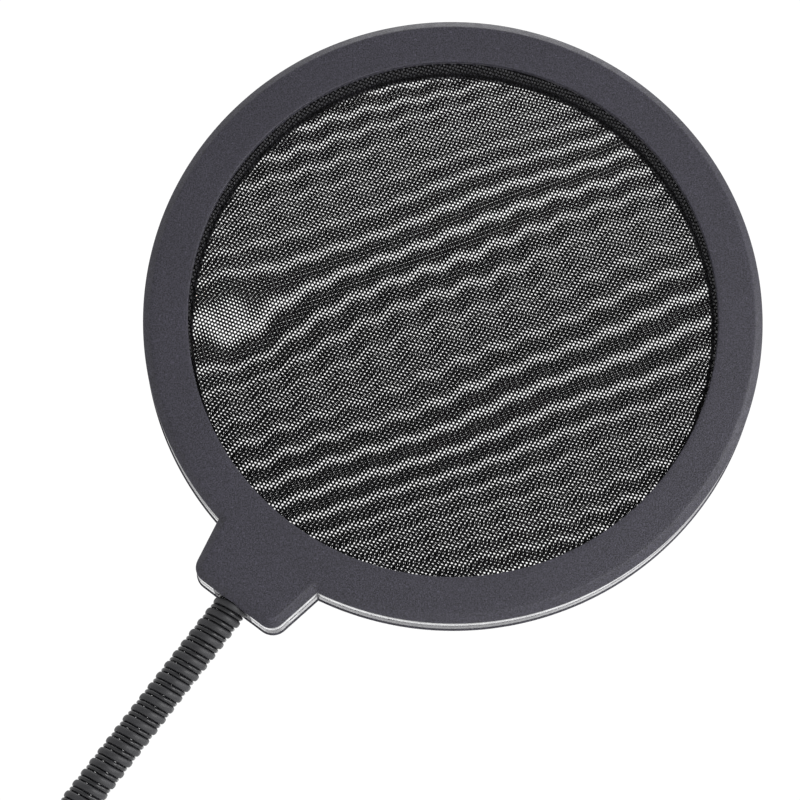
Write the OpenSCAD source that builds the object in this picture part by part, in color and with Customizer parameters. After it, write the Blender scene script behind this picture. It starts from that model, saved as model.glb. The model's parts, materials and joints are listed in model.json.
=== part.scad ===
// Clamp-on pop filter: a double mesh screen in a two-part hoop, carried by a
// spiral gooseneck on a screw clamp.
//
// Frame: millimetres, +Z up. The origin is on the axis of the stand tube that
// the clamp grips, half-way up the clamp. The screen faces -Y, and the
// gooseneck stands in the plane y = hub_y.

/* [Hoop] */
// Outside diameter of the hoop
hoop_d = 155; // [129:1:190]
// Radial width of the rim, from the opening to the outside
rim_w = 11.3; // [11.2:0.1:15]
// Depth of the hoop, front face to rear face
hoop_depth = 12.5; // [12.4:0.1:16]
// Wall thickness of the hoop's two shells
shell_wall = 2; // [1.7:0.1:2.2]
// Radial width of the chamfer round the front edge
chamfer_w = 2; // [1:0.1:2.2]
// Depth of the chamfer round the front edge
chamfer_h = 1.8; // [1:0.1:2]
// How much smaller the rear opening is, on the radius
rear_step = 0.6; // [0:0.1:1]
// How far the bead round the rear edge stands proud
bead_out = 0.35; // [0.1:0.05:0.6]
// Thickness of the bead round the rear edge
bead_h = 0.9; // [0.6:0.1:1.5]
// Number of screws that join the two hoop shells
hoop_screws = 6; // [4:1:8]

/* [Mesh] */
// Thickness of each mesh layer
mesh_t = 0.3; // [0.2:0.05:0.5]
// Radial width of the ring that keeps the two layers apart
spacer_w = 2; // [1.6:0.1:2.2]

/* [Tab] */
// How far the tab stands out from the hoop
tab_reach = 13; // [12.5:0.5:20]
// Width of the tab where it leaves the hoop
tab_base_w = 30.4; // [29:0.1:38]
// Width of the tab at its end
tab_end_w = 26.4; // [26:0.1:32]
// Radius of the tab's two corners
tab_corner_r = 4; // [2:0.5:5]
// Length of the pry slot in the side of the tab
pry_slot_l = 2.2; // [1.5:0.1:4]

/* [Gooseneck] */
// Diameter over the coil's crests
neck_d = 8.9; // [7.2:0.1:9.4]
// Thickness of the coil, from its crests to the hollow core
coil_wall = 2.25; // [2:0.05:2.4]
// Pitch of the coil
coil_pitch = 3.3; // [3.1:0.1:4]
// Turns of coil in one section
section_turns = 6; // [5:1:8]
// Largest bend of one joint, either way
joint_swing = 18; // [10:0.5:22.5]
// Angle from vertical at which the neck meets the hoop
neck_lean = 37; // [0:0.5:45]
// Length of the bare coil between the last bend and the tab
neck_free_end = 9.9; // [9.9:0.1:20]

/* [Clamp] */
// Diameter of the stand tube that the jaw is cut for
tube_d = 25; // [20:0.5:30]
// Height of the clamp along the tube
clamp_h = 20; // [18:0.5:30]
// Thickness of the jaw arm and of the spine
arm_t = 10; // [9:0.5:14]
// Thickness of the arm that carries the screw
screw_arm_t = 11; // [11:0.5:15]
// Travel of the pressure foot either side of the tube's size
foot_travel = 18; // [10:0.5:18]
// Diameter of the clamp screw
screw_d = 8; // [6:0.1:10]
// Diameter of the knob
knob_d = 32; // [28:0.5:40]
// Thickness of the knob
knob_h = 15; // [13:0.5:20]
// Number of finger lobes on the knob
knob_lobes = 7; // [5:1:9]

/* [Hidden] */
$fn = 96;
eps = 0.01;                 // overcut of holes through a face
fit = 0.05;                 // radial clearance of a running fit
ease = 0.15;                // clearance of a piece in its pocket

// Hoop, in its own frame: z = 0 is the parting plane, +z the front
hoop_r = hoop_d / 2;
opening_r = hoop_r - rim_w;
half_depth = hoop_depth / 2;
face_under = half_depth - shell_wall;
wall_in_r = hoop_r - shell_wall;
lip_t = 0.9;
lip_h = 1.2;
lip_gap = 0.1;
lip_r = wall_in_r - lip_gap;
spacer_r = opening_r + spacer_w;
spacer_h = 2 * (face_under - mesh_t);
rib_gap = 0.2;
mesh_r = spacer_r - rib_gap;
rib_r = spacer_r + rib_gap;
rib_t = 1;
rib_h = 1.5;
boss_gap = 0.05;
boss_room = lip_r - lip_t - rib_r - rib_t;
boss_r = boss_room / 2 - boss_gap;
boss_at = rib_r + rib_t + boss_room / 2;
small_screw_r = 1;
small_head_r = 1.75;
small_head_h = 1.4;
small_recess = 1.9;         // how deep the small screws' heads are sunk
small_screw_end = 1;        // solid plastic left in front of a screw's tip
cross_slot = 0.6;           // width of the slots in a small screw's head

// Tab, in the hoop's frame, along -y
tab_end = hoop_r + tab_reach;
tab_root = hoop_r - rim_w / 2;
tab_draft = (tab_base_w - tab_end_w) / 2 / tab_reach;
tab_screw_r = 1.2;
tab_head_r = 2.1;
tab_screw_y = -(tab_end - 5.2);
pry_slot_h = 1.6;
pry_slot_in = 1.2;
pry_slot_at = tab_reach / 2;

// Gooseneck
groove_depth = 0.55;
crest_bevel = 0.25;
ball_wall = 1;              // wall of the ball round the hollow core
joint_ease = 0.04;          // gap left between two sections at their largest bend
joints = 16;
curved_sections = 10;       // the sections above these run straight
crest_r = neck_d / 2;
groove_r = crest_r - groove_depth;
core_r = crest_r - coil_wall;
ball_r = core_r + ball_wall;
largest_bend = joint_swing + neck_lean / curved_sections;
// From a joint's centre to the nearest end face
joint_gap = groove_r * tan(largest_bend / 2) + joint_ease;
crest_l = coil_pitch - 2 * joint_gap;
section_l = section_turns * coil_pitch;
ferrule_wall = 0.6;
ferrule_floor = 1.2;
ferrule_in_r = crest_r + fit;
ferrule_r = ferrule_in_r + ferrule_wall;

// Upper ferrule, inside the tab
entry_wall = 2;
entry_r = crest_r + ease;
ferrule_back = 2.1;         // from the hoop's outside to the ferrule's inner end
upper_ferrule_l = tab_reach - entry_wall - ferrule_back;
key_w = 15;
key_t = 2;
key_cover = 1.45;           // plastic between the key and the tab's face
key_h = 2 * (half_depth - key_cover);
tab_screw_x = ferrule_r + 4.7;
section_top_l = neck_free_end + entry_wall + upper_ferrule_l - ferrule_floor;

// Clamp: jaw arm at -y, screw arm at +y, spine at +x
tube_r = tube_d / 2;
saddle_half_angle = 60;
pad_shoulder = 1.7;         // flat of the pad either side of the saddle
pad_floor = 2.5;            // rubber behind the tube
pad_sunk = 2;
pad_edge = 1.5;             // jaw left above and below the pad
pad_w = 2 * (tube_r * sin(saddle_half_angle) + pad_shoulder);
pad_h = clamp_h - 2 * pad_edge;
pad_base = tube_r + pad_floor;
pad_horn = tube_r * cos(saddle_half_angle);
pad_groove = 1;
jaw_face = pad_base - pad_sunk;
throat_gap = 3;             // from the tube to the spine
throat_x = tube_r + throat_gap;
spine_x = throat_x + arm_t;
tip_over = 2.5;             // how far the arms reach past the pad
arm_tip_x = -(pad_w / 2 + tip_over);
corner_r = 8;
throat_corner_r = 4;
grip_r = 1.7;
grip_pitch = 4;
grip_out = 0.9;             // how far outside the spine a grip groove's axis lies
foot_gap = 0.1;
foot_face = tube_r + foot_gap;
foot_pad_t = 2;
foot_pad_sunk = 0.8;
foot_pad_edge = 1.5;
foot_plate_t = 5;
foot_w = 22;
foot_h = clamp_h - 2;
foot_back = foot_face + foot_pad_t - foot_pad_sunk + foot_plate_t;
foot_groove = 0.8;
foot_groove_pitch = 3;
screw_r = screw_d / 2;
swivel_ball_r = 3;
swivel_neck_r = 2;
swivel_set = 0.6;           // from the foot's back to the ball's centre
swivel_mouth = 1.6;         // from the ball's centre to where the foot opens round the neck
swivel_at = foot_back + swivel_set;
foot_boss_l = 4.6;
foot_boss_r = 6.2;
foot_stop_gap = 1.2;
knob_stop_gap = 1.5;
screw_arm_in = foot_back + foot_boss_l + foot_travel + foot_stop_gap;
screw_arm_out = screw_arm_in + screw_arm_t;
collar_h = 1.2;
collar_w = 4;
screw_hole_gap = 0.3;
thread_from = foot_back + foot_boss_l + 0.8;
nut_af = 1.625 * screw_d;   // usual proportion of a hexagon nut
nut_h = 0.8 * screw_d;
knob_r = knob_d / 2;
knob_in = screw_arm_out + foot_travel + knob_stop_gap;
knob_neck = 4;
knob_web = 3;               // solid end of the knob beyond the screw
knob_lobe_r = 4.8;
knob_waist = 2.5;           // depth of the hollows between lobes
knob_cap_r = 8.8;
knob_cap_sunk = 1.6;
knob_cap_h = 1.9;
screw_end = knob_in + knob_h - knob_web;

// Hub that the gooseneck turns in
hub_r = 10.5;
hub_out = 4.5;              // from the spine's outside to the hub's axis
hub_rise = 2;
hub_x = spine_x + hub_out;
hub_y = (screw_arm_out - jaw_face - arm_t) / 2;
hub_top = clamp_h / 2 + hub_rise;
hub_pocket_r = 8;
hub_pocket_h = 8;
pocket_roof = -clamp_h / 2 + hub_pocket_h;
stem_r = 4;
stem_end_gap = 1;
stem_nut_af = 13;
stem_nut_h = 4;
stem_washer_t = 1;
cap_t = 0.8;
cap_over = 1.2;
cap_lip_t = 0.9;
cap_lip_h = 1.4;
washer_t = 1;
washer_r = 8;
flange_t = 2;
flange_r = 7.6;
base_sleeve_wall = 1;
base_sleeve_h = 11;
base_free = 2 * coil_pitch;
base_sleeve_z = hub_top + washer_t + flange_t;
joint_1_z = base_sleeve_z + base_sleeve_h + base_free;
section_0_l = base_sleeve_h + base_free - ferrule_floor;

// Direction of section i, in degrees from vertical
function lean_of(i) = neck_lean * min(i / curved_sections, 1);
function way_of(i) = [sin(lean_of(i)), 0, cos(lean_of(i))];
// Centre of the joint below section i
function joint_at(i) = i == 1
    ? [hub_x, hub_y, joint_1_z]
    : joint_at(i - 1) + section_l * way_of(i - 1);
hoop_centre = joint_at(joints) + (neck_free_end + tab_end) * way_of(joints);

section_names = [for (i = [0:joints]) str("neck_section_", i < 10 ? "0" : "", i)];

shell_black = [0.2, 0.2, 0.22];
clamp_black = [0.16, 0.16, 0.17];
rubber_black = [0.1, 0.1, 0.1];
coil_black = [0.13, 0.13, 0.14];
mesh_black = [0.07, 0.07, 0.07];
steel = [0.62, 0.63, 0.65];
brass = [0.72, 0.6, 0.34];

// ---------- shared shapes ----------

// Places children in the hoop's frame: z is depth to the front, -y the tab
module at_hoop() {
    translate(hoop_centre) rotate([90, 0, 0]) rotate([0, 0, -neck_lean]) children();
}

// Places children at joint i with z along section i
module at_joint(i) {
    translate(joint_at(i)) rotate([0, lean_of(i), 0]) children();
}

// Places children with z along +Y, from the given y on the clamp screw's axis
module along_screw(y) {
    translate([0, y, 0]) rotate([-90, 0, 0]) children();
}

module hexagon(af, h) {
    cylinder(r = af / 2 / cos(30), h = h, $fn = 6);
}

module rounded_box_2d(low, high, r) {
    translate(low + [r, 0]) square([high[0] - low[0] - 2 * r, high[1] - low[1]]);
    translate(low + [0, r]) square([high[0] - low[0], high[1] - low[1] - 2 * r]);
    for (x = [low[0] + r, high[0] - r])
        for (y = [low[1] + r, high[1] - r])
            translate([x, y]) circle(r = r);
}

// A small pan-head screw that stands on z = 0 with its tip up
module pan_screw(shank_r, shank_l, head_r, head_h) {
    difference() {
        union() {
            cylinder(r = head_r, h = head_h, $fn = 48);
            cylinder(r = shank_r, h = head_h + shank_l, $fn = 32);
        }
        for (a = [0, 90])
            rotate([0, 0, a])
                translate([-head_r * 0.65, -cross_slot / 2, -eps])
                    cube([head_r * 1.3, cross_slot, head_h * 0.55]);
    }
}

// ---------- hoop ----------

// Half of the tab, from the parting plane to z = h, its sides moved out by grow
module tab_slab(h, grow) {
    half_root = tab_base_w / 2 + (hoop_r - tab_root) * tab_draft + grow;
    half_end = tab_end_w / 2 + grow;
    r = max(tab_corner_r + grow, 0.5);
    hull() {
        translate([-half_root, -tab_root - eps, 0]) cube([2 * half_root, eps, h]);
        for (s = [-1, 1])
            translate([s * (half_end - r), -(tab_end + grow - r), 0])
                cylinder(r = r, h = h, $fn = 32);
    }
}

// One shell of the rim, as a section in radius and height
module shell_section(inner_r) {
    polygon([[inner_r, face_under], [wall_in_r, face_under], [wall_in_r, 0],
             [hoop_r, 0], [hoop_r, half_depth], [inner_r, half_depth]]);
}

// The recess in both tab halves for the gooseneck's end
module neck_pocket() {
    rotate([90, 0, 0]) {
        translate([0, 0, tab_end - entry_wall - eps])
            cylinder(r = entry_r, h = entry_wall + 2 + eps, $fn = 64);
        translate([0, 0, tab_end - entry_wall - upper_ferrule_l - ease])
            cylinder(r = ferrule_r + ease, h = upper_ferrule_l + ease, $fn = 64);
    }
    translate([-key_w / 2 - ease, -(tab_end - entry_wall - upper_ferrule_l + key_t + ease),
               -key_h / 2 - ease])
        cube([key_w + 2 * ease, key_t + 2 * ease, key_h + 2 * ease]);
}

module pry_slot() {
    side_x = tab_base_w / 2 - pry_slot_at * tab_draft;
    translate([side_x - pry_slot_in, -(hoop_r + pry_slot_at + pry_slot_l / 2), -pry_slot_h / 2])
        cube([pry_slot_in * 2, pry_slot_l, pry_slot_h]);
}

// Screw places round the hoop, kept clear of the tab
module each_hoop_screw() {
    for (i = [0:hoop_screws - 1])
        rotate([0, 0, (i + 0.5) * 360 / hoop_screws - 90])
            translate([boss_at, 0, 0]) children();
}

module each_tab_screw() {
    for (s = [-1, 1]) translate([s * tab_screw_x, tab_screw_y, 0]) children();
}

module front_hoop() {
    color(shell_black) at_hoop() difference() {
        union() {
            rotate_extrude($fn = 180) difference() {
                shell_section(opening_r);
                polygon([[hoop_r - chamfer_w, half_depth + eps], [hoop_r + eps, half_depth + eps],
                         [hoop_r + eps, half_depth - chamfer_h],
                         [hoop_r, half_depth - chamfer_h], [hoop_r - chamfer_w, half_depth]]);
            }
            rotate_extrude($fn = 180)
                translate([rib_r, face_under - rib_h]) square([rib_t, rib_h + eps]);
            each_hoop_screw() cylinder(r = boss_r, h = face_under + eps, $fn = 48);
            difference() {
                hull() {
                    tab_slab(half_depth - chamfer_h, 0);
                    tab_slab(half_depth, -chamfer_w);
                }
                cylinder(r = hoop_r - shell_wall / 2, h = half_depth - eps, $fn = 180);
            }
        }
        each_hoop_screw()
            translate([0, 0, -eps])
                cylinder(r = small_screw_r + fit, h = half_depth - small_screw_end + eps, $fn = 32);
        each_tab_screw()
            translate([0, 0, -eps])
                cylinder(r = tab_screw_r + fit, h = half_depth - small_screw_end + eps, $fn = 32);
        neck_pocket();
        pry_slot();
    }
}

module rear_hoop() {
    color(shell_black) at_hoop() mirror([0, 0, 1]) difference() {
        union() {
            rotate_extrude($fn = 180) union() {
                shell_section(opening_r - rear_step);
                translate([hoop_r - eps, half_depth - bead_h]) square([bead_out + eps, bead_h]);
            }
            rotate_extrude($fn = 180)
                translate([rib_r, face_under - rib_h]) square([rib_t, rib_h + eps]);
            rotate_extrude($fn = 180)
                translate([lip_r - lip_t, -lip_h]) square([lip_t, face_under + lip_h + eps]);
            each_hoop_screw() cylinder(r = boss_r, h = face_under + eps, $fn = 48);
            difference() {
                union() {
                    tab_slab(half_depth, 0);
                    translate([0, 0, half_depth - bead_h]) tab_slab(bead_h, bead_out);
                }
                cylinder(r = hoop_r - shell_wall / 2, h = half_depth - eps, $fn = 180);
            }
        }
        each_hoop_screw() {
            translate([0, 0, -eps]) cylinder(r = small_screw_r + ease, h = hoop_depth, $fn = 32);
            translate([0, 0, half_depth - small_recess])
                cylinder(r = small_head_r + ease, h = hoop_depth, $fn = 48);
        }
        each_tab_screw() {
            translate([0, 0, -eps]) cylinder(r = tab_screw_r + ease, h = hoop_depth, $fn = 32);
            translate([0, 0, half_depth - small_recess])
                cylinder(r = tab_head_r + ease, h = hoop_depth, $fn = 48);
        }
        neck_pocket();
        pry_slot();
    }
}

module spacer_ring() {
    color(shell_black) at_hoop() translate([0, 0, -spacer_h / 2]) difference() {
        cylinder(r = spacer_r, h = spacer_h, $fn = 180);
        translate([0, 0, -eps]) cylinder(r = opening_r, h = spacer_h + 2 * eps, $fn = 180);
    }
}

// One layer of mesh: side is 1 for the front, -1 for the rear
module mesh_layer(side) {
    color(mesh_black) at_hoop()
        translate([0, 0, side * (face_under - mesh_t / 2) - mesh_t / 2])
            cylinder(r = mesh_r, h = mesh_t, $fn = 180);
}

module hoop_screw_set() {
    head_z = -(half_depth - small_recess) - small_head_h;
    tip = half_depth - small_screw_end - ease;
    color(steel) at_hoop() each_hoop_screw()
        translate([0, 0, head_z])
            pan_screw(small_screw_r, tip - head_z - small_head_h, small_head_r, small_head_h);
}

module tab_screw_set() {
    head_z = -(half_depth - small_recess) - small_head_h;
    tip = half_depth - small_screw_end - ease;
    color(steel) at_hoop() each_tab_screw()
        translate([0, 0, head_z])
            pan_screw(tab_screw_r, tip - head_z - small_head_h, tab_head_r, small_head_h);
}

// ---------- gooseneck ----------

// Outline of the coil from z = from to z = to, with crests at the pitch
module coil_solid(from, to) {
    crests = floor((to - from + 2 * joint_gap) / coil_pitch + eps);
    points = [for (k = [0:crests - 1])
        let (z = from + k * coil_pitch)
        each [[groove_r, z], [crest_r, z + crest_bevel],
              [crest_r, z + crest_l - crest_bevel], [groove_r, z + crest_l]]];
    rotate_extrude($fn = 64)
        polygon(concat([[0, from]], points, [[groove_r, to], [0, to]]));
}

// A length of gooseneck between two joints, each a ball in the socket below it
module neck_section(length, ball, socket) {
    difference() {
        union() {
            coil_solid(ball ? joint_gap : 0, length - (socket ? joint_gap : 0));
            if (ball) sphere(r = ball_r, $fn = 64);
        }
        if (socket) translate([0, 0, length]) sphere(r = ball_r + fit, $fn = 64);
        translate([0, 0, -ball_r - 1]) cylinder(r = core_r, h = length + ball_r + 2, $fn = 48);
    }
}

module neck_part(i) {
    color(coil_black)
        if (i == 0)
            translate([hub_x, hub_y, joint_1_z - section_0_l])
                neck_section(section_0_l, false, true);
        else if (i < joints)
            at_joint(i) neck_section(section_l, true, true);
        else
            at_joint(i) neck_section(section_top_l, true, false);
}

module top_ferrule() {
    color(steel) at_hoop() rotate([90, 0, 0])
        translate([0, 0, tab_end - entry_wall - upper_ferrule_l]) difference() {
            union() {
                cylinder(r = ferrule_r, h = upper_ferrule_l, $fn = 64);
                translate([-key_w / 2, -key_h / 2, 0]) cube([key_w, key_h, key_t]);
            }
            translate([0, 0, ferrule_floor])
                cylinder(r = ferrule_in_r, h = upper_ferrule_l, $fn = 64);
        }
}

// Flanged sleeve with the threaded stem that the gooseneck turns on
module base_ferrule() {
    stem_bottom = -clamp_h / 2 + stem_end_gap;
    color(steel) translate([hub_x, hub_y, 0]) difference() {
        union() {
            translate([0, 0, stem_bottom])
                cylinder(r = stem_r, h = base_sleeve_z - stem_bottom, $fn = 64);
            translate([0, 0, base_sleeve_z - flange_t])
                cylinder(r = flange_r, h = flange_t, $fn = 96);
            translate([0, 0, base_sleeve_z])
                cylinder(r = ferrule_in_r + base_sleeve_wall, h = base_sleeve_h, $fn = 96);
        }
        translate([0, 0, base_sleeve_z + ferrule_floor])
            cylinder(r = ferrule_in_r, h = base_sleeve_h, $fn = 64);
    }
}

module swivel_washer() {
    color(rubber_black) translate([hub_x, hub_y, hub_top]) difference() {
        cylinder(r = washer_r, h = washer_t, $fn = 96);
        translate([0, 0, -eps]) cylinder(r = stem_r + ease, h = washer_t + 2 * eps, $fn = 64);
    }
}

module stem_washer() {
    color(steel) translate([hub_x, hub_y, pocket_roof - stem_washer_t]) difference() {
        cylinder(r = hub_pocket_r - 0.4, h = stem_washer_t, $fn = 96);
        translate([0, 0, -eps]) cylinder(r = stem_r + ease, h = stem_washer_t + 2 * eps, $fn = 64);
    }
}

module stem_nut() {
    color(steel) translate([hub_x, hub_y, pocket_roof - stem_washer_t - stem_nut_h]) difference() {
        hexagon(stem_nut_af, stem_nut_h);
        translate([0, 0, -eps]) cylinder(r = stem_r + fit, h = stem_nut_h + 2 * eps, $fn = 64);
    }
}

// Snap-in lid of the hub's nut pocket
module hub_cap() {
    lip_out = hub_pocket_r - ease / 2;
    color(clamp_black) translate([hub_x, hub_y, -clamp_h / 2 - cap_t]) {
        cylinder(r = hub_pocket_r + cap_over, h = cap_t, $fn = 96);
        difference() {
            cylinder(r = lip_out, h = cap_t + cap_lip_h, $fn = 96);
            translate([0, 0, cap_t])
                cylinder(r = lip_out - cap_lip_t, h = cap_lip_h + eps, $fn = 96);
        }
    }
}

// ---------- clamp ----------

module clamp_body() {
    low_y = -(jaw_face + arm_t);
    color(clamp_black) difference() {
        union() {
            translate([0, 0, -clamp_h / 2]) linear_extrude(clamp_h) difference() {
                rounded_box_2d([arm_tip_x, low_y], [spine_x, screw_arm_out], corner_r);
                rounded_box_2d([2 * arm_tip_x, -jaw_face], [throat_x, screw_arm_in],
                               throat_corner_r);
            }
            translate([hub_x, hub_y, -clamp_h / 2])
                cylinder(r = hub_r, h = hub_top + clamp_h / 2, $fn = 96);
            // collar round the screw on the outside of its arm
            along_screw(screw_arm_out - collar_h)
                cylinder(r = screw_r + collar_w, h = 2 * collar_h, $fn = 64);
        }
        // hub: stem bore and nut pocket
        translate([hub_x, hub_y, -clamp_h / 2 - eps]) {
            cylinder(r = stem_r + fit, h = hub_top + clamp_h, $fn = 64);
            cylinder(r = hub_pocket_r, h = hub_pocket_h + eps, $fn = 96);
        }
        // screw hole, and the nut's pocket in the inner face of the arm
        along_screw(screw_arm_in - collar_h)
            cylinder(r = screw_r + screw_hole_gap, h = screw_arm_t + 3 * collar_h, $fn = 64);
        along_screw(screw_arm_in - eps)
            rotate([0, 0, 30]) hexagon(nut_af + 2 * ease, nut_h + eps);
        // seat of the jaw pad
        translate([-pad_w / 2 - ease, -pad_base, -pad_h / 2 - ease])
            cube([pad_w + 2 * ease, pad_sunk + ease, pad_h + 2 * ease]);
        // finger grooves down the spine, either side of the hub
        for (s = [-1, 1])
            for (k = [0:2])
                translate([spine_x + grip_out, hub_y + s * (hub_r + (k + 1) * grip_pitch),
                           -clamp_h / 2 - eps])
                    cylinder(r = grip_r, h = clamp_h + 2 * eps, $fn = 32);
    }
}

// Rubber saddle that the stand tube is pressed into
module jaw_pad() {
    color(rubber_black) difference() {
        translate([-pad_w / 2, -pad_base, -pad_h / 2])
            cube([pad_w, pad_base - pad_horn, pad_h]);
        translate([0, 0, -clamp_h]) cylinder(r = tube_r, h = 2 * clamp_h, $fn = 180);
        // relief grooves down the pad's two ends, above the jaw
        for (side = [-1, 1])
            for (z = [-pad_h / 4, 0, pad_h / 4])
                translate([side * pad_w / 2 - pad_groove / 2, -jaw_face + pad_groove / 2,
                           z - pad_groove / 2])
                    cube([pad_groove, pad_base, pad_groove]);
    }
}

module screw_nut() {
    color(brass) along_screw(screw_arm_in) rotate([0, 0, 30]) difference() {
        hexagon(nut_af, nut_h);
        translate([0, 0, -eps]) cylinder(r = screw_r + fit, h = nut_h + 2 * eps, $fn = 64);
    }
}

// Plate that the screw presses on the tube; it swivels on the screw's ball
module pressure_foot() {
    plate_y = foot_back - foot_plate_t;
    seat_w = foot_w - 2 * foot_pad_edge + ease;
    seat_h = foot_h - 2 * foot_pad_edge + ease;
    color(clamp_black) difference() {
        union() {
            translate([-foot_w / 2, plate_y, -foot_h / 2]) cube([foot_w, foot_plate_t, foot_h]);
            along_screw(foot_back - eps) cylinder(r = foot_boss_r, h = foot_boss_l + eps, $fn = 64);
        }
        translate([-seat_w / 2, plate_y - eps, -seat_h / 2])
            cube([seat_w, foot_pad_sunk + eps, seat_h]);
        translate([0, swivel_at, 0]) sphere(r = swivel_ball_r + fit, $fn = 64);
        along_screw(swivel_at + swivel_mouth)
            cylinder(r = swivel_neck_r + 0.5, h = foot_boss_l, $fn = 64);
    }
}

module foot_pad() {
    pad_w = foot_w - 2 * foot_pad_edge;
    pad_h = foot_h - 2 * foot_pad_edge;
    color(rubber_black) difference() {
        translate([-pad_w / 2, foot_face, -pad_h / 2]) cube([pad_w, foot_pad_t, pad_h]);
        for (k = [-2:2])
            translate([k * foot_groove_pitch - foot_groove / 2, foot_face - eps, -foot_h / 2])
                cube([foot_groove, foot_groove / 2 + eps, foot_h]);
    }
}

// Ball, neck, thread run-out and threaded length, in that order
module clamp_screw() {
    runout = screw_r - swivel_neck_r;
    color(steel) union() {
        translate([0, swivel_at, 0]) sphere(r = swivel_ball_r, $fn = 64);
        along_screw(swivel_at) cylinder(r = swivel_neck_r, h = thread_from - swivel_at, $fn = 48);
        along_screw(thread_from) cylinder(r1 = swivel_neck_r, r2 = screw_r, h = runout, $fn = 64);
        along_screw(thread_from + runout)
            cylinder(r = screw_r, h = screw_end - thread_from - runout, $fn = 64);
    }
}

module knob() {
    grip_l = knob_h - knob_neck;
    color(clamp_black) difference() {
        union() {
            along_screw(knob_in + knob_neck) linear_extrude(grip_l) {
                circle(r = knob_r - knob_waist, $fn = 96);
                for (i = [0:knob_lobes - 1])
                    rotate(i * 360 / knob_lobes)
                        translate([knob_r - knob_lobe_r, 0]) circle(r = knob_lobe_r, $fn = 48);
            }
            along_screw(knob_in)
                cylinder(r1 = screw_r + 3.5, r2 = screw_r + 5, h = knob_neck + eps, $fn = 64);
        }
        along_screw(knob_in - eps)
            cylinder(r = screw_r + fit, h = screw_end - knob_in + eps, $fn = 64);
        along_screw(knob_in + knob_h - knob_cap_sunk)
            cylinder(r = knob_cap_r, h = knob_cap_sunk + eps, $fn = 96);
    }
}

module knob_cap() {
    color(clamp_black) along_screw(knob_in + knob_h - knob_cap_sunk)
        cylinder(r = knob_cap_r - ease, h = knob_cap_h, $fn = 96);
}

clamp_body();
jaw_pad();
screw_nut();
hub_cap();
pressure_foot();
foot_pad();
clamp_screw();
knob();
knob_cap();
swivel_washer();
base_ferrule();
stem_washer();
stem_nut();
for (i = [0:joints])
    neck_part(i);
top_ferrule();
front_hoop();
rear_hoop();
spacer_ring();
mesh_layer(1);  // front_mesh
mesh_layer(-1);  // rear_mesh
hoop_screw_set();  // hoop_screws
tab_screw_set();  // tab_screws
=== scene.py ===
"""A clamp-on pop filter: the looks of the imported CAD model, in metres and in its own frame.

The hoop's shells, the two nets, the gooseneck's coil and the clamp's parts are finished
meshes that stand for CAD nodes. The small steel pieces are the CAD nodes themselves.
"""

import json
import math

import bmesh
import bpy
import numpy as np
from mathutils import Matrix, Vector


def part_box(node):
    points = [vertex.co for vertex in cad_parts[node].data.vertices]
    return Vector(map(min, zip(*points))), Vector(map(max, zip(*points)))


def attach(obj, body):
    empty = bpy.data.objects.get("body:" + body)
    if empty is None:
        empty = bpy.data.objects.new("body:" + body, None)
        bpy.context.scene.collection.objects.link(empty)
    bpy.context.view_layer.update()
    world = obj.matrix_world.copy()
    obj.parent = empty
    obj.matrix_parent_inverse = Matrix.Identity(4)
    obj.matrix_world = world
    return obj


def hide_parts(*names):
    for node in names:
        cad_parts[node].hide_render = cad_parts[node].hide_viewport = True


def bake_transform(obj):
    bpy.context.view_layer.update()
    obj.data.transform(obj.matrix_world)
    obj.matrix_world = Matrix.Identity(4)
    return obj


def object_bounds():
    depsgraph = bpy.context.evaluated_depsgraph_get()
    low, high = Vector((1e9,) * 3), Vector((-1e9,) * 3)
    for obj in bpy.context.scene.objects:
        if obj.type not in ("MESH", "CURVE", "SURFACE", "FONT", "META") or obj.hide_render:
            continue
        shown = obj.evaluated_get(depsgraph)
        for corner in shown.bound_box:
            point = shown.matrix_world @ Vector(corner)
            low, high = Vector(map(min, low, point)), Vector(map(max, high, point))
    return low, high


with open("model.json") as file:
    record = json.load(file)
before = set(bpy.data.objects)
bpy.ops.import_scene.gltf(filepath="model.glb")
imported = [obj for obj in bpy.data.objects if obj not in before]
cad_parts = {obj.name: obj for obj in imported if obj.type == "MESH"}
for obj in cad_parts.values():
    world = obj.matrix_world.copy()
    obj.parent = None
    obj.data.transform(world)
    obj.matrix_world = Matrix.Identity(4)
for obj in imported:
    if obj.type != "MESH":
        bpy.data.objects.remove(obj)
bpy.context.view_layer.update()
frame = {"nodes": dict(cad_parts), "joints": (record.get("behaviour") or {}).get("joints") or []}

MM = 0.001
TAU = 2 * math.pi


# ---------- meshes ----------


def piece(name, points, faces, material, sharp_deg=40):
    """A new mesh object, smooth except where its faces meet at more than sharp_deg."""
    mesh = bpy.data.meshes.new(name)
    mesh.from_pydata([tuple(p) for p in points], [], [tuple(f) for f in faces])
    obj = bpy.data.objects.new(name, mesh)
    bpy.context.scene.collection.objects.link(obj)
    finish_mesh(obj, material, sharp_deg)
    return obj


def finish_mesh(obj, material, sharp_deg=40):
    """Outward faces, smooth shading and one material."""
    work = bmesh.new()
    work.from_mesh(obj.data)
    bmesh.ops.recalc_face_normals(work, faces=work.faces)
    work.to_mesh(obj.data)
    work.free()
    obj.data.polygons.foreach_set("use_smooth", [True] * len(obj.data.polygons))
    obj.data.set_sharp_from_angle(angle=math.radians(sharp_deg))
    obj.data.materials.clear()
    obj.data.materials.append(material)


def grid_faces(rows, columns, close_rows=False, close_columns=True):
    """Quads of a grid of points, numbered row by row."""
    faces = []
    for i in range(rows if close_rows else rows - 1):
        for j in range(columns if close_columns else columns - 1):
            a, b = i * columns, (i + 1) % rows * columns
            k = (j + 1) % columns
            faces.append((a + j, a + k, b + k, b + j))
    return faces


def placed(points, matrix):
    """Points moved by a matrix, as an array of rows."""
    points = np.asarray(points, float)
    m = np.array(matrix)
    return points @ m[:3, :3].T + m[:3, 3]


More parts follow.
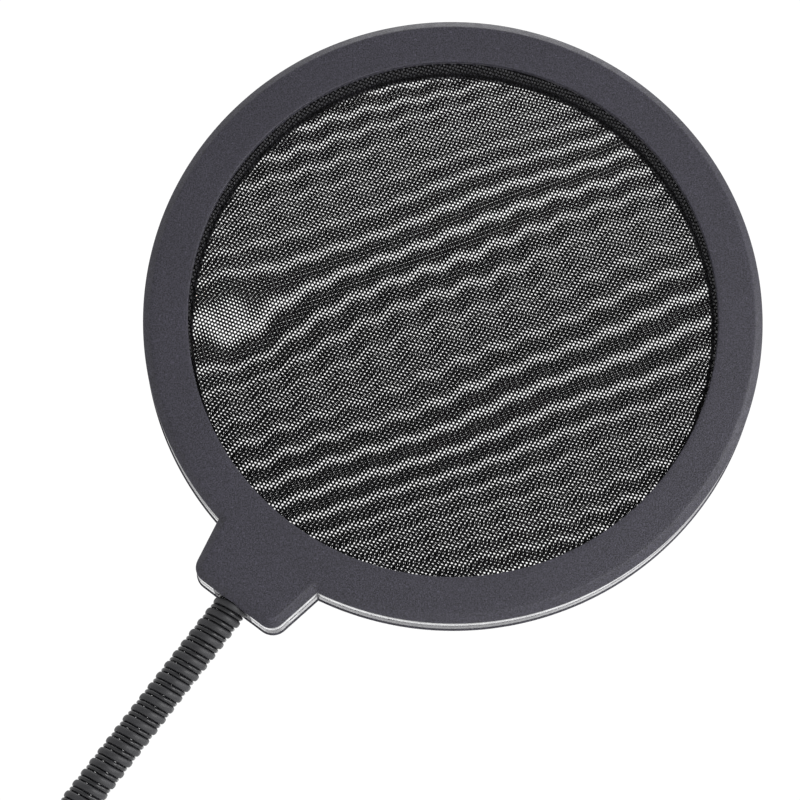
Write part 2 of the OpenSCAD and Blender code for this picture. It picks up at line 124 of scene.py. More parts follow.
def node_points(node, matrix=None):
    """A CAD node's points at rest, seen from the frame that matrix places."""
    mesh = frame["nodes"][node].data
    points = np.zeros(len(mesh.vertices) * 3, np.float32)
    mesh.vertices.foreach_get("co", points)
    points = points.reshape(-1, 3).astype(float)
    return points if matrix is None else placed(points, matrix.inverted())


def apply_modifiers(obj):
    """Replaces an object's mesh with what its modifiers make of it."""
    graph = bpy.context.evaluated_depsgraph_get()
    mesh = bpy.data.meshes.new_from_object(obj.evaluated_get(graph))
    obj.modifiers.clear()
    obj.data = mesh


def soften(points, reach, steps=3):
    """Rounds the inner corners of an open line of 2-D points, over reach each way."""
    points = [Vector(p) for p in points]
    line = [points[0]]
    for before, corner, after in zip(points, points[1:], points[2:]):
        ends = []
        for other in (before, after):
            way = other - corner
            ends.append(corner + way.normalized() * min(reach, way.length / 2.2))
        for k in range(steps + 1):
            t = k / steps
            line.append(ends[0] * (1 - t) ** 2 + corner * 2 * t * (1 - t) + ends[1] * t**2)
    line.append(points[-1])
    return line


# ---------- materials ----------


class Paint:
    """A new material, with short calls that add and join its nodes. Sizes are in metres."""

    def __init__(self, name):
        self.material = bpy.data.materials.new(name)
        self.material.use_nodes = True
        self.tree = self.material.node_tree
        self.skin = self.tree.nodes["Principled BSDF"]
        self.place = self.add("ShaderNodeTexCoord").outputs["Object"]
        self.normal = None

    def add(self, kind, **settings):
        node = self.tree.nodes.new(kind)
        for name, value in settings.items():
            setattr(node, name, value)
        return node

    def put(self, node, **values):
        """Sets or links a node's inputs, named with _ for a space."""
        for name, value in values.items():
            socket = node.inputs[name.replace("_", " ")]
            if isinstance(value, bpy.types.NodeSocket):
                self.tree.links.new(value, socket)
            else:
                socket.default_value = value
        return node

    def noise(self, size, detail=2.0, stretch=(1, 1, 1)):
        """Noise whose spots are about size across."""
        place = self.place
        if stretch != (1, 1, 1):
            scaled = self.put(self.add("ShaderNodeMapping"), Vector=place, Scale=stretch)
            place = scaled.outputs["Vector"]
        node = self.put(self.add("ShaderNodeTexNoise"), Vector=place, Scale=1 / size, Detail=detail)
        return node.outputs["Fac"]

    def ramp(self, factor, *stops):
        """A colour ramp: each stop is a place from 0 to 1 and a grey value or a colour."""
        node = self.put(self.add("ShaderNodeValToRGB"), Fac=factor)
        elements = node.color_ramp.elements
        while len(elements) < len(stops):
            elements.new(1.0)
        for element, (at, colour) in zip(elements, stops):
            element.position = at
            rgb = colour if hasattr(colour, "__len__") else (colour,) * 3
            element.color = (*rgb, 1)
        return node.outputs["Color"]

    def mix(self, a, b, factor, how="MIX"):
        node = self.add("ShaderNodeMixRGB", blend_type=how)
        return self.put(node, Fac=factor, Color1=a, Color2=b).outputs["Color"]

    def bump(self, height, depth, strength):
        """Raises the surface by height, on top of the bumps before."""
        node = self.add("ShaderNodeBump")
        self.put(node, Height=height, Distance=depth, Strength=strength)
        if self.normal is not None:
            self.put(node, Normal=self.normal)
        self.normal = node.outputs["Normal"]

    def done(self, colour, roughness, **constants):
        self.put(self.skin, Base_Color=colour, Roughness=roughness, **constants)
        if self.normal is not None:
            self.put(self.skin, Normal=self.normal)
        return self.material


def shade(colour, share):
    """A colour made lighter or darker."""
    return tuple(share * c for c in colour)


def moulded_plastic(name, colour, grain, roughness, mottle, relief=0.3):
    """Spark-eroded mould texture: fine grain, pale specks and slow changes of tone."""
    paint = Paint(name)
    fine = paint.noise(grain, 3.0)
    slow = paint.noise(40 * grain, 3.0)
    speck = paint.noise(1.7 * grain, 1.0)
    dark, pale = shade(colour, 1 - 2 * mottle), shade(colour, 1 + 2 * mottle)
    tone = paint.ramp(fine, (0.3, dark), (0.7, pale))
    tone = paint.mix(tone, paint.ramp(slow, (0.3, 0.9), (0.7, 1.1)), 0.6, "MULTIPLY")
    specks = paint.ramp(speck, (0.66, 0.0), (0.78, 0.55))
    tone = paint.mix(tone, (*shade(colour, 3.2), 1), specks)
    sheen = paint.ramp(paint.noise(6 * grain), (0.3, roughness - 0.05), (0.7, roughness + 0.06))
    paint.bump(fine, relief * grain, 0.9)
    paint.bump(slow, relief * grain, 0.3)
    return paint.done(tone, sheen)


def coated_wire(name, colour, roughness, wear=0.05):
    """Black baked coating on spring wire, rubbed a little along its length."""
    paint = Paint(name)
    fine = paint.noise(0.12 * MM, 3.0)
    patch = paint.noise(3 * MM, 4.0)
    tone = paint.ramp(patch, (0.25, shade(colour, 0.75)), (0.75, shade(colour, 1.3)))
    rubbed = paint.ramp(paint.noise(0.9 * MM, 5.0), (0.62, 0.0), (0.8, wear))
    tone = paint.mix(tone, (0.35, 0.35, 0.36, 1), rubbed)
    gloss = paint.ramp(patch, (0.3, roughness - 0.05), (0.7, roughness + 0.08))
    paint.bump(fine, 0.01 * MM, 0.6)
    return paint.done(tone, gloss)


def plated_metal(name, colour, roughness):
    """Bright plating with fine turning marks and dull patches."""
    paint = Paint(name)
    marks = paint.noise(0.5 * MM, 4.0, (1, 1, 14))
    patch = paint.noise(4 * MM, 4.0)
    tone = paint.ramp(patch, (0.3, shade(colour, 0.8)), (0.7, colour))
    dull = paint.ramp(patch, (0.3, roughness - 0.06), (0.75, roughness + 0.12))
    paint.bump(marks, 0.01 * MM, 0.5)
    return paint.done(tone, dull, Metallic=1.0)


def moulded_rubber(name):
    """Soft black rubber with a dry bloom."""
    paint = Paint(name)
    fine = paint.noise(0.2 * MM, 4.0)
    bloom = paint.noise(5 * MM, 5.0)
    tone = paint.ramp(bloom, (0.3, (0.012, 0.012, 0.013)), (0.8, (0.035, 0.035, 0.036)))
    rough = paint.ramp(fine, (0.3, 0.72), (0.7, 0.9))
    paint.bump(fine, 0.04 * MM, 0.8)
    return paint.done(tone, rough, Specular_IOR_Level=0.3)


def knitted_yarn(name):
    """Dull black nylon yarn, its strands of uneven tone."""
    paint = Paint(name)
    strand = paint.noise(0.09 * MM, 3.0)
    cloth = paint.noise(9 * MM, 3.0)
    tone = paint.ramp(strand, (0.3, (0.001, 0.001, 0.0012)), (0.75, (0.006, 0.006, 0.007)))
    tone = paint.mix(tone, paint.ramp(cloth, (0.3, 0.8), (0.7, 1.15)), 0.7, "MULTIPLY")
    rough = paint.ramp(strand, (0.3, 0.45), (0.7, 0.7))
    paint.bump(strand, 0.03 * MM, 0.9)
    return paint.done(tone, rough, Specular_IOR_Level=0.12)


HOOP_COLOUR = (0.032, 0.030, 0.043)
HOOP_GRAIN = 0.36 * MM
HOOP_PLASTIC = moulded_plastic("hoop_plastic", HOOP_COLOUR, HOOP_GRAIN, 0.5, 0.4)
WALL_PLASTIC = moulded_plastic("hoop_wall_plastic", HOOP_COLOUR, HOOP_GRAIN, 0.2, 0.1, 0.02)
CLAMP_PLASTIC = moulded_plastic("clamp_plastic", (0.022, 0.022, 0.025), 0.4 * MM, 0.46, 0.1)
BAND_COAT = coated_wire("band_coating", (0.028, 0.028, 0.031), 0.46)
WIRE_COAT = coated_wire("wire_coating", (0.018, 0.018, 0.020), 0.2)
STEEL = plated_metal("plated_steel", (0.55, 0.56, 0.58), 0.25)
BRASS = plated_metal("turned_brass", (0.62, 0.45, 0.2), 0.28)
RUBBER = moulded_rubber("rubber")
YARN = knitted_yarn("knitted_yarn")


# ---------- the hoop's own frame ----------

neck_joints = [j for j in frame["joints"] if j["name"].startswith(("neck_lower", "neck_upper"))]
neck_joints.sort(key=lambda j: int(j["name"][-2:]))
joint_points = [Vector(j["pos_m"]) for j in neck_joints]


def middle(node):
    low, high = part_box(node)
    return (low + high) / 2


hoop_centre = (middle("front_mesh") + middle("rear_mesh")) / 2
net_level = (middle("front_mesh") - hoop_centre).length
tab_way = (joint_points[-1] - hoop_centre).normalized()
hoop_out = Vector((0, -1, 0))
hoop_axes = Matrix((hoop_out.cross(tab_way), -tab_way, hoop_out)).transposed()
# x to the right of the tab's line, y away from the tab, z to the front
HOOP = Matrix.Translation(hoop_centre) @ hoop_axes.to_4x4()

shell_wall = 2 * MM
chamfer_w, chamfer_h = 2 * MM, 1.8 * MM
bead_h = 0.9 * MM
rim_round = 0.3 * MM
bead_round = 0.22 * MM
tab_base_w, tab_end_w = 30.4 * MM, 26.4 * MM
tab_corner_r = 4 * MM
entry_r = 4.6 * MM
entry_depth = 3 * MM
slot_l, slot_h, slot_in = 2.2 * MM, 1.6 * MM, 1.2 * MM
recess_depth = 1.9 * MM
recess_radii = {"hoop_screws": 1.9 * MM, "tab_screws": 2.25 * MM}
END_STEPS, CORNER_STEPS, SIDE_STEPS, CIRCLE_STEPS = 8, 10, 8, 150

front_points = node_points("front_hoop", HOOP)
rear_points = node_points("rear_hoop", HOOP)
front_radii = np.hypot(front_points[:, 0], front_points[:, 1])
rear_radii = np.hypot(rear_points[:, 0], rear_points[:, 1])
away_from_tab = front_points[:, 1] > 0
hoop_r = front_radii[away_from_tab].max()
opening_r = front_radii.min()
rear_opening_r = rear_radii.min()
bead_out = rear_radii[rear_points[:, 1] > 0].max() - hoop_r
half_depth = front_points[:, 2].max()
tab_end = -front_points[:, 1].min()
face_under = half_depth - shell_wall
tab_root = hoop_r - (hoop_r - opening_r) / 2
tab_draft = (tab_base_w - tab_end_w) / 2 / (tab_end - hoop_r)


def outline(inset):
    """The hoop with its tab as a loop of x + iy, its edge moved in by inset."""
    circle = hoop_r - inset
    corner = max(tab_corner_r - inset, 0.5 * MM)
    end = tab_end - inset
    root = complex(tab_base_w / 2 + (hoop_r - tab_root) * tab_draft - inset, -tab_root)
    knee = complex(tab_end_w / 2 - inset - corner, corner - end)
    reach = abs(knee - root)
    side = (knee - root) / reach * np.exp(1j * math.asin(corner / reach))
    touch = root + side * math.sqrt(reach**2 - corner**2)
    along = (side.conjugate() * root).real
    meet = root + side * (math.sqrt(along**2 - abs(root) ** 2 + circle**2) - along)
    turn = np.linspace(-math.pi / 2, np.angle(touch - knee), CORNER_STEPS, endpoint=False)
    sweep = np.linspace(np.angle(meet), math.pi / 2, CIRCLE_STEPS)
    right = np.concatenate([
        np.linspace(-1j * end, knee.real - 1j * end, END_STEPS, endpoint=False),
        knee + corner * np.exp(1j * turn),
        np.linspace(touch, meet, SIDE_STEPS, endpoint=False),
        circle * np.exp(1j * sweep),
    ])
    return np.concatenate([right, -right[-2:0:-1].conjugate()])


def row(loop, z):
    return np.column_stack([loop.real, loop.imag, np.full(len(loop), z)])


def shell_rows(edge, mouth, side):
    """A shell's rows of points. edge is (inset, height) along its outline, from the parting
    plane to the face, and mouth is (radius, height) round its opening, from the face inward."""
    rows = [row(outline(inset), side * z) for inset, z in edge]
    last_edge = rows[-1]
    ray = np.exp(1j * np.angle(last_edge[:, 0] + 1j * last_edge[:, 1]))
    mouth_rows = [row(radius * ray, side * z) for radius, z in mouth]
    for t in (0.25, 0.5, 0.75):
        rows.append(last_edge * (1 - t) + mouth_rows[0] * t)
    rows += mouth_rows
    under = row(outline(shell_wall), side * face_under)
    for t in (0.33, 0.67):
        rows.append(mouth_rows[-1] * (1 - t) + under * t)
    rows.append(under)
    return rows


def cutter(name, radius, low, high, matrix, sides=64):
    """A cylinder from z = low to z = high in the frame that matrix places, for cutting."""
    turn = np.exp(1j * np.linspace(0, TAU, sides, endpoint=False)) * radius
    points = placed(np.concatenate([row(turn, low), row(turn, high)]), matrix)
    faces = grid_faces(2, sides) + [range(sides - 1, -1, -1), range(sides, 2 * sides)]
    return piece(name, points, faces, RUBBER)


def cut(obj, tools):
    """Cuts each tool out of obj, then deletes the tools."""
    for tool in tools:
        modifier = obj.modifiers.new("cut", "BOOLEAN")
        modifier.operation = "DIFFERENCE"
        modifier.solver = "EXACT"
        modifier.object = tool
    bpy.context.view_layer.update()
    apply_modifiers(obj)
    for tool in tools:
        bpy.data.objects.remove(tool)


def places_of(node, gap=4 * MM):
    """Where a set of equal fasteners stands, in the hoop's x and y."""
    groups = []
    for point in node_points(node, HOOP)[:, :2]:
        near = [g for g in groups if np.hypot(*(g[0] - point)) < gap]
        near[0].append(point) if near else groups.append([point])
    return [(np.min(g, 0) + np.max(g, 0)) / 2 for g in groups]


def pry_slot():
    """Cutter for the slot in the tab's right flank that a blade opens the shells with."""
    low_y = -(hoop_r + tab_end) / 2 - slot_l / 2
    flank = (tab_base_w + tab_end_w) / 4
    corners = [(flank - slot_in, low_y), (flank + MM, low_y),
               (flank + MM, low_y + slot_l), (flank - slot_in, low_y + slot_l)]
    loop = np.array([complex(*corner) for corner in corners])
    points = placed(np.concatenate([row(loop, -slot_h / 2), row(loop, slot_h / 2)]), HOOP)
    faces = grid_faces(2, 4) + [(3, 2, 1, 0), (4, 5, 6, 7)]
    return piece("slot_cutter", points, faces, RUBBER)


def polish_walls(shell):
    """Gives the outward walls of a shell, away from the neck's hole, their smoother finish."""
    shell.data.materials.append(WALL_PLASTIC)
    to_hoop = HOOP.inverted()
    for polygon in shell.data.polygons:
        at = to_hoop @ polygon.center
        upright = abs(polygon.normal.dot(hoop_out)) < 0.3
        outside = at.xy.length > hoop_r - rim_round
        by_hole = abs(at.x) + abs(at.y + tab_end) <= entry_r + 1.4 * MM
        if upright and outside and not by_hole:
            polygon.material_index = 1


def neck_entry():
    """Cutter for the hole in the tab's end that the gooseneck goes into."""
    along_tab = HOOP @ Matrix.Rotation(math.pi / 2, 4, "X")
    return cutter("entry_cutter", entry_r, tab_end - entry_depth, tab_end + 2 * MM, along_tab)


def make_shell(name, node, edge, mouth, side, cutters):
    """One half of the hoop, lofted between its parting plane, face and opening."""
    rows = shell_rows(edge, mouth, side)
    points = placed(np.concatenate(rows), HOOP)
    faces = grid_faces(len(rows), len(rows[0]), close_rows=True)
    shell = piece(name, points, faces, HOOP_PLASTIC)
    cut(shell, cutters)
    finish_mesh(shell, HOOP_PLASTIC)
    polish_walls(shell)
    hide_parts(node)
    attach(shell, "screen")


def make_front_shell():
    edge = soften(
        [(shell_wall, 0), (0, 0), (0, half_depth - chamfer_h), (chamfer_w, half_depth),
         (chamfer_w + 1.4 * MM, half_depth)],
        rim_round,
    )
    mouth = soften(
        [(opening_r + 1.6 * MM, half_depth), (opening_r, half_depth), (opening_r, face_under),
         (opening_r + 1 * MM, face_under)],
        rim_round,
    )
    cutters = [neck_entry(), pry_slot()]
    make_shell("front_hoop_shell", "front_hoop", edge, mouth, 1, cutters)


def make_rear_shell():
    bead_top = half_depth - bead_h
    edge = soften(
        [(shell_wall, 0), (0, 0), (0, bead_top), (-bead_out, bead_top),
         (-bead_out, half_depth), (1.6 * MM, half_depth)],
        bead_round,
    )
    mouth = soften(
        [(rear_opening_r + 1.6 * MM, half_depth), (rear_opening_r, half_depth),
         (rear_opening_r, face_under), (rear_opening_r + 1 * MM, face_under)],
        rim_round,
    )
    cutters = [neck_entry(), pry_slot()]
    for node, radius in recess_radii.items():
        for x, y in places_of(node):
            at = HOOP @ Matrix.Translation((x, y, 0))
            floor = -half_depth + recess_depth
            cutters.append(cutter("recess", radius, -half_depth - MM, floor, at, 48))
    make_shell("rear_hoop_shell", "rear_hoop", edge, mouth, -1, cutters)


make_front_shell()
make_rear_shell()


# ---------- nets ----------

# Here x runs to the right and y down as seen from the front, in millimetres from the hoop's
# centre. The knit is two sets of lines, rows and columns, given as waves a millimetre along
# x and y, with how that changes across the screen.
ROWS = (0.320, 0.900)
ROWS_TURN = (0.00112, -0.00046)
COLUMNS = (0.668, -0.204)
COLUMNS_TURN = -0.00072
# How much closer the rear net's columns run than the front's, in waves a millimetre, and how
# that grows up and down. The two run alike at one tight spot by the rim.
APART = (-0.062, -0.125)
APART_GROWTH = -8e-6
TIGHT_SPOT = (-57.0, -1.0)
TIGHT_REACH = 9.0
# unevenness of the rows and of the columns, in waves, and where its pattern starts
net_wobble = {"front_net": (0.03, 0.04, 0.0), "rear_net": (0.05, 0.2, 1.9)}
# radii of the two sizes of hole, and how far their rims stand before or behind the net
HOLE_R = 0.33
SMALL_HOLE_R = 0.31
KNIT_RELIEF = 0.09
SETTLE_ROUNDS = 40
net_open_r = opening_r / MM + 0.2
net_cut_r = (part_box("front_mesh")[1].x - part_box("front_mesh")[0].x) / 2 / MM - 0.1


def unevenness(x, y, phase):
    """The unevenness of a stretched net, slow and from stitch to stitch, from -1 to 1."""
    waves = 0.6 * np.sin(0.083 * x - 0.131 * y + 1.3 * phase)
    waves += 0.4 * np.sin(-0.121 * x - 0.077 * y + 2.1 + 0.9 * phase)
    waves += np.sin(0.62 * x - 0.21 * y + phase) * (0.7 + 0.3 * np.sin(0.09 * y + 0.05 * x))
    return waves / 2


def run_apart(x, y):
    """How many columns the rear net has gained on the front one."""
    right, down = x - TIGHT_SPOT[0], y - TIGHT_SPOT[1]
    loose = 1 - np.exp(-(right**2 + down**2) / (2 * TIGHT_REACH**2))
    return (APART[0] * right + APART[1] * down + APART_GROWTH * down**3) * loose


def knit_phase(name, x, y):
    """Which row and which column of the knit runs through a point, counted as waves."""
    row_bow, row_fan = ROWS_TURN
    shake_row, shake_column, phase = net_wobble[name]
    rows = ROWS[0] * x + ROWS[1] * y + 0.5 * row_bow * x * x + row_fan * x * y
    columns = COLUMNS[0] * x + COLUMNS[1] * y + COLUMNS_TURN * x * y
    if name == "rear_net":
        columns = columns + run_apart(x, y)
    rows = rows + shake_row * unevenness(x, y, phase)
    columns = columns + shake_column * unevenness(x + 17, y + 9, phase + 2)
    return rows, columns


def hole_centres(name):
    """Centres of the net's holes on a grid [m, n] that covers the screen."""
    jacobian = np.array([ROWS, COLUMNS])
    reach = int(2.4 * net_cut_r * np.abs(jacobian).sum(1).max())
    m, n = np.mgrid[-reach:reach + 1, -reach:reach + 1]
    rows, columns = (m + n) / 2, (m - n) / 2
    inverse = np.linalg.inv(jacobian)
    x = inverse[0, 0] * rows + inverse[0, 1] * columns
    y = inverse[1, 0] * rows + inverse[1, 1] * columns
    near = np.hypot(x, y) < 1.35 * net_cut_r
    rows, columns, x, y = rows[near], columns[near], x[near], y[near]
    for _ in range(SETTLE_ROUNDS):
        found_rows, found_columns = knit_phase(name, x, y)
        off_row, off_column = rows - found_rows, columns - found_columns
        x = x + inverse[0, 0] * off_row + inverse[0, 1] * off_column
        y = y + inverse[1, 0] * off_row + inverse[1, 1] * off_column
    return m[near], n[near], x, y


def make_net(name, node, level):
    """A knitted net as one sheet of flat threads round six-cornered holes."""
    m, n, x, y = hole_centres(name)
    at = {key: i for i, key in enumerate(zip(m.tolist(), n.tolist()))}
    steps = [(1, 0), (1, 1), (0, 1), (-1, 0), (-1, -1), (0, -1)]
    around = np.array([[at.get((a + da, b + db), -1) for da, db in steps]
                       for a, b in zip(m.tolist(), n.tolist())])
    whole = (around >= 0).all(1)
    centres = np.column_stack([x, y])
    index = np.full(len(m), -1)
    index[whole] = np.arange(whole.sum())
    kept = np.flatnonzero(whole)
    beside = around[kept]
    # each corner of a hole points to the middle of the three holes that meet there
    second = np.roll(beside, -1, axis=1)
    thread = (centres[kept][:, None] + centres[beside] + centres[second]) / 3
    way = thread - centres[kept][:, None]
    way /= np.linalg.norm(way, axis=2, keepdims=True)
    small = (m[kept] + n[kept]) % 2 == 1
    radius = np.where(small, SMALL_HOLE_R, HOLE_R)
    corners = centres[kept][:, None] + way * radius[:, None, None]
    lift = np.where(small, -KNIT_RELIEF, KNIT_RELIEF)
    height = np.repeat(lift[:, None], 6, 1)
    flat = corners.reshape(-1, 2)
    points = np.column_stack([flat[:, 0], -flat[:, 1], height.ravel()]) * MM
    faces = []
    open_r = np.hypot(*centres[kept].T)
    linked = index[beside]
    for k in range(len(kept)):
        a, b, c = linked[k, 0], linked[k, 1], linked[k, 2]
        own = 6 * k
        if a >= 0:
            faces.append((own, own + 5, 6 * a + 3, 6 * a + 2))
        if b >= 0:
            faces.append((own + 1, own, 6 * b + 4, 6 * b + 3))
        if c >= 0:
            faces.append((own + 2, own + 1, 6 * c + 5, 6 * c + 4))
        if a >= 0 and b >= 0:
            faces.append((own, 6 * a + 2, 6 * b + 4))
        if b >= 0 and c >= 0:
            faces.append((own + 1, 6 * b + 3, 6 * c + 5))
        if open_r[k] > net_open_r:
            faces.append(tuple(range(own, own + 6)))
    inside = np.hypot(points[:, 0], points[:, 1]) < net_cut_r * MM
    faces = [f for f in faces if all(inside[i] for i in f)]
    used = sorted({i for f in faces for i in f})
    new = {old: i for i, old in enumerate(used)}
    faces = [tuple(new[i] for i in f) for f in faces]
    upright = Matrix.Translation(hoop_centre) @ Matrix.Rotation(math.pi / 2, 4, "X")
    points = placed(points[used] + (0, 0, level), upright)
    net = piece(name, points, faces, YARN, 180)
    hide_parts(node)
    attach(net, "screen")
    return net


make_net("front_net", "front_mesh", net_level)
make_net("rear_net", "rear_mesh", -net_level)


# ---------- gooseneck ----------

coil_pitch = 3.3 * MM
TURN_STEPS = 40
# the two wires' outlines, as millimetres along the neck and out from its middle
band_profile = soften(
    [(0, 2.3), (0.95, 2.3), (0.98, 3.75), (0.72, 4.3), (0, 4.45),
     (-0.72, 4.3), (-0.98, 3.75), (-0.95, 2.3), (0, 2.3)],
    0.22,
    2,
)[1:-1]
WIRE_R, WIRE_OUT, WIRE_SIDES = 0.6, 3.62, 12
wire_profile = [
    (WIRE_R * math.cos(TAU * k / WIRE_SIDES), WIRE_OUT + WIRE_R * math.sin(TAU * k / WIRE_SIDES))
    for k in range(WIRE_SIDES)
]

sleeve_depth = 9.8 * MM
entry_reach = 9 * MM
base_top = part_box("base_ferrule")[1].z
sleeve_mouth = joint_points[0] - Vector((0, 0, 1)) * (joint_points[0].z - base_top)
sleeve_floor = sleeve_mouth - Vector((0, 0, 1)) * sleeve_depth
neck_free = (hoop_centre - joint_points[-1]).length - tab_end
tab_face = joint_points[-1] - tab_way * neck_free
inside_tab = joint_points[-1] - tab_way * (neck_free + entry_reach)
middles = [(a + b) / 2 for a, b in zip(joint_points, joint_points[1:])]
# the neck's pieces run between these points, each but the first and last round one joint
breaks = [sleeve_floor, sleeve_mouth] + middles + [tab_face, inside_tab]


def bend(start, corner, end, t):
    """Point and direction at t on a smooth bend between two straight lengths."""
    point = start * (1 - t) ** 2 + corner * 2 * t * (1 - t) + end * t**2
    way = (corner - start) * (1 - t) + (end - corner) * t
    return point, way.normalized()


def coil_piece(name, profile, start, corner, end, run, turn_offset, material):
    """One wire's turns from start to end round corner. run is the coil's length before it."""
    length = (corner - start).length + (end - corner).length
    steps = max(2, round(length / coil_pitch * TURN_STEPS))
    across = Vector((0, 1, 0))
    rows = []
    for k in range(steps + 1):
        t = k / steps
        centre, way = bend(start, corner, end, t)
        side = across.cross(way)
        angle = TAU * ((run + t * length) / coil_pitch + turn_offset)
        out = side * math.cos(angle) + across * math.sin(angle)
        for along, radius in profile:
            rows.append(centre + out * radius * MM + way * along * MM)
    count = len(profile)
    faces = grid_faces(steps + 1, count)
    faces += [range(count - 1, -1, -1), range(steps * count, (steps + 1) * count)]
    return piece(name, rows, faces, material, 50), length


def make_neck():
    """The coil's two wires, in lengths that each bend round one joint."""
    run = 0.0
    last = len(breaks) - 2
    for k in range(last + 1):
        start, end = breaks[k], breaks[k + 1]
        corner = joint_points[k - 1] if 0 < k < last else (start + end) / 2
        nodes = [f"neck_section_{k:02d}"] if k < last else []
        for kind, profile, offset, material in (
            ("band", band_profile, 0.0, BAND_COAT),
            ("wire", wire_profile, 0.5, WIRE_COAT),
        ):
            name = f"coil_{kind}_{k:02d}"
            obj, length = coil_piece(name, profile, start, corner, end, run, offset, material)
            if k == 0:
                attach(obj, "neck_base")
            elif k == last:
                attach(obj, "screen")
            else:
                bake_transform(obj)
            if nodes:
                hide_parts(*nodes)
        run += length


make_neck()


# ---------- clamp ----------


def remoulded(name, node, body, voxel, rounds, material):
    """A CAD node's shape with its edges rounded as a mould leaves them."""
    mesh = frame["nodes"][node].data.copy()
    obj = bpy.data.objects.new(name, mesh)
    bpy.context.scene.collection.objects.link(obj)
    remesh = obj.modifiers.new("remesh", "REMESH")
    remesh.mode = "VOXEL"
    remesh.voxel_size = voxel
    smooth = obj.modifiers.new("smooth", "SMOOTH")
    smooth.factor = 0.5
    smooth.iterations = rounds
    bpy.context.view_layer.update()
    apply_modifiers(obj)
    finish_mesh(obj, material, 180)
    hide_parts(node)
    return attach(obj, body)


def make_clamp_mouldings():
    for name, node, body, voxel, rounds, material, slot in (
        ("clamp_casting", "clamp_body", "clamp", 0.42 * MM, 5, CLAMP_PLASTIC, "clamp_plastic"),
        ("clamp_knob", "knob", "screw", 0.32 * MM, 5, CLAMP_PLASTIC, "clamp_plastic"),
        ("knob_button", "knob_cap", "screw", 0.16 * MM, 3, CLAMP_PLASTIC, "clamp_plastic"),
        ("foot_plate", "pressure_foot", "foot", 0.28 * MM, 4, CLAMP_PLASTIC, "clamp_plastic"),
        ("nut_cover", "hub_cap", "clamp", 0.16 * MM, 3, CLAMP_PLASTIC, "clamp_plastic"),
        ("tube_saddle", "jaw_pad", "clamp", 0.24 * MM, 4, RUBBER, "rubber_pad"),
        ("foot_rubber", "foot_pad", "foot", 0.2 * MM, 3, RUBBER, "rubber_pad"),
    ):
        remoulded(name, node, body, voxel, rounds, material)


thread_pitch = 1.25 * MM
thread_depth = 0.68 * MM
screw_ball_r = 3 * MM
screw_stem_r = 2 * MM
ROUND_STEPS, THREAD_STEPS = 48, 8


def make_clamp_screw():
    """Ball, neck and rolled thread, as one turned surface along +Y."""
    points = node_points("clamp_screw")
    radii = np.hypot(points[:, 0], points[:, 2])
    shank_r = radii.max()
    low, high = points[:, 1].min(), points[:, 1].max()
    ball_r, stem_r = screw_ball_r, screw_stem_r
    thread_low = points[radii > 0.99 * shank_r, 1].min()
    runout_low = thread_low - (shank_r - stem_r)
    levels = [(low + ball_r * (1 - math.cos(a)), ball_r * math.sin(a))
              for a in np.linspace(0.08, math.pi - math.asin(stem_r / ball_r), 18)]
    levels += [(y, stem_r) for y in np.linspace(levels[-1][0] + 0.3 * MM, runout_low, 4)]
    count = int((high - runout_low) / thread_pitch * THREAD_STEPS)
    for y in np.linspace(runout_low + 0.1 * MM, high, count):
        levels.append((y, min(shank_r, stem_r + y - runout_low)))
    rows = []
    for y, radius in levels:
        fade = min(max((y - thread_low) / thread_pitch + 1, 0), 1)
        for k in range(ROUND_STEPS):
            turn = k / ROUND_STEPS
            wave = (y / thread_pitch - turn) % 1
            flank = min(abs(2 * wave - 1) * 1.3, 1.0)
            r = radius - thread_depth * fade * (1 - flank)
            rows.append((r * math.cos(TAU * turn), y, r * math.sin(TAU * turn)))
    faces = grid_faces(len(levels), ROUND_STEPS)
    last = (len(levels) - 1) * ROUND_STEPS
    faces += [range(ROUND_STEPS), range(last + ROUND_STEPS - 1, last - 1, -1)]
    screw = piece("clamp_screw_thread", rows, faces, STEEL, 35)
    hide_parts("clamp_screw")
    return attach(screw, "screw")


make_clamp_mouldings()
make_clamp_screw()


# ---------- CAD nodes that show ----------

shown_nodes = {
    "screw_nut": BRASS,
    "base_ferrule": STEEL,
    "stem_washer": STEEL,
    "stem_nut": STEEL,
    "top_ferrule": STEEL,
    "hoop_screws": STEEL,
    "tab_screws": STEEL,
    "swivel_washer": RUBBER,
    "spacer_ring": HOOP_PLASTIC,
}
for node, material in shown_nodes.items():
    mesh = frame["nodes"][node].data
    mesh.materials.clear()
    mesh.materials.append(material)


# ---------- camera, light and floor ----------

view_up = math.radians(12.5)  # the camera looks up at the screen from below
view_distance = 780 * MM
view_left, view_down = 13.2 * MM, 20.0 * MM  # the frame's middle, from the hoop's centre
view_way = Vector((0, math.cos(view_up), math.sin(view_up)))
view_top = Vector((0, -math.sin(view_up), math.cos(view_up)))
aim = hoop_centre + Vector((-view_left, 0, 0)) - view_top * view_down


def make_camera():
    data = bpy.data.cameras.new("camera")
    data.lens = 139.6
    data.sensor_width = 36
    camera = bpy.data.objects.new("camera", data)
    bpy.context.scene.collection.objects.link(camera)
    camera.location = aim - view_way * view_distance
    camera.rotation_mode = "QUATERNION"
    camera.rotation_quaternion = view_way.to_track_quat("-Z", "Y")
    data.clip_start, data.clip_end = 0.01, 50
    bpy.context.scene.camera = camera


def soft_light(name, place, width, height, watts):
    """A soft box that faces the hoop."""
    data = bpy.data.lights.new(name, "AREA")
    data.shape = "RECTANGLE"
    data.size, data.size_y = width, height
    data.energy = watts
    light = bpy.data.objects.new(name, data)
    bpy.context.scene.collection.objects.link(light)
    light.location = hoop_centre + Vector(place)
    light.rotation_mode = "QUATERNION"
    light.rotation_quaternion = (-Vector(place)).to_track_quat("-Z", "Y")


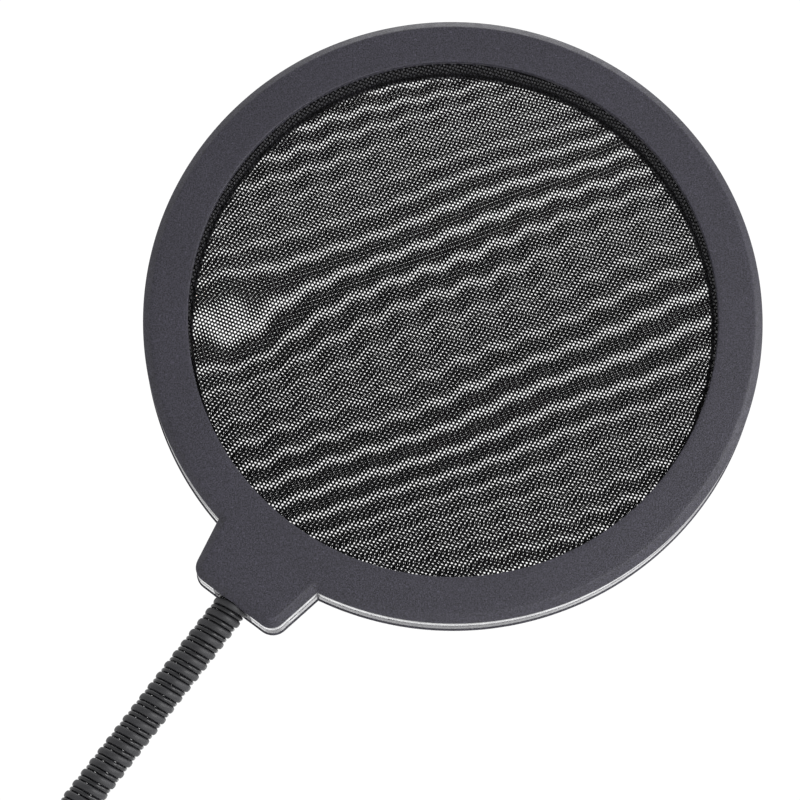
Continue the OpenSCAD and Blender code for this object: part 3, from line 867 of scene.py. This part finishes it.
def make_world():
    """White to the camera; as a light, dimmer in front of the object than behind and above."""
    world = bpy.data.worlds.new("studio")
    bpy.context.scene.world = world
    world.use_nodes = True
    tree = world.node_tree
    tree.nodes.clear()
    nodes = {}
    for key, kind in (("place", "TexCoord"), ("split", "SeparateXYZ"), ("path", "LightPath"),
                      ("light", "Background"), ("seen", "Background"), ("mix", "MixShader"),
                      ("out", "OutputWorld"), ("depth", "MapRange"), ("height", "MapRange"),
                      ("sum", "Math")):
        nodes[key] = tree.nodes.new("ShaderNode" + kind)

    def join(a, output, b, socket):
        tree.links.new(nodes[a].outputs[output], nodes[b].inputs[socket])

    for key, low, high in (("depth", 0.15, 0.75), ("height", 0.1, 0.35)):
        nodes[key].inputs["From Min"].default_value = -1
        nodes[key].inputs["From Max"].default_value = 1
        nodes[key].inputs["To Min"].default_value = low
        nodes[key].inputs["To Max"].default_value = high
    join("place", "Generated", "split", "Vector")
    join("split", "Y", "depth", "Value")
    join("split", "Z", "height", "Value")
    join("depth", "Result", "sum", 0)
    join("height", "Result", "sum", 1)
    join("sum", "Value", "light", "Strength")
    nodes["seen"].inputs["Strength"].default_value = 1.05
    for key in ("seen", "light"):
        nodes[key].inputs["Color"].default_value = (1, 1, 1, 1)
    join("path", "Is Camera Ray", "mix", "Fac")
    tree.links.new(nodes["light"].outputs[0], nodes["mix"].inputs[1])
    tree.links.new(nodes["seen"].outputs[0], nodes["mix"].inputs[2])
    join("mix", "Shader", "out", "Surface")


def make_floor():
    """A pale plane under the lowest point at rest."""
    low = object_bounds()[0]
    half = 3.0
    corners = [(-half, -half), (half, -half), (half, half), (-half, half)]
    paint = Paint("studio_floor")
    tone = paint.ramp(paint.noise(0.2, 3.0), (0.3, 0.78), (0.7, 0.82))
    material = paint.done(tone, 0.8)
    points = [(x, y, low.z) for x, y in corners]
    mesh = bpy.data.meshes.new("floor")
    mesh.from_pydata(points, [], [(0, 1, 2, 3)])
    floor = bpy.data.objects.new("floor", mesh)
    bpy.context.scene.collection.objects.link(floor)
    mesh.materials.append(material)


make_camera()
make_world()
make_floor()
soft_light("top_light", (0.15, 0.1, 1.2), 1.0, 1.0, 8)
soft_light("side_light", (1.2, -0.2, -0.1), 0.8, 0.8, 6)
soft_light("near_light", (0.38, -0.52, -0.14), 0.3, 0.3, 1.9)
soft_light("low_back_light", (0.2, 1.2, -0.22), 1.8, 0.3, 2.4)
bpy.context.scene.view_settings.view_transform = "Standard"
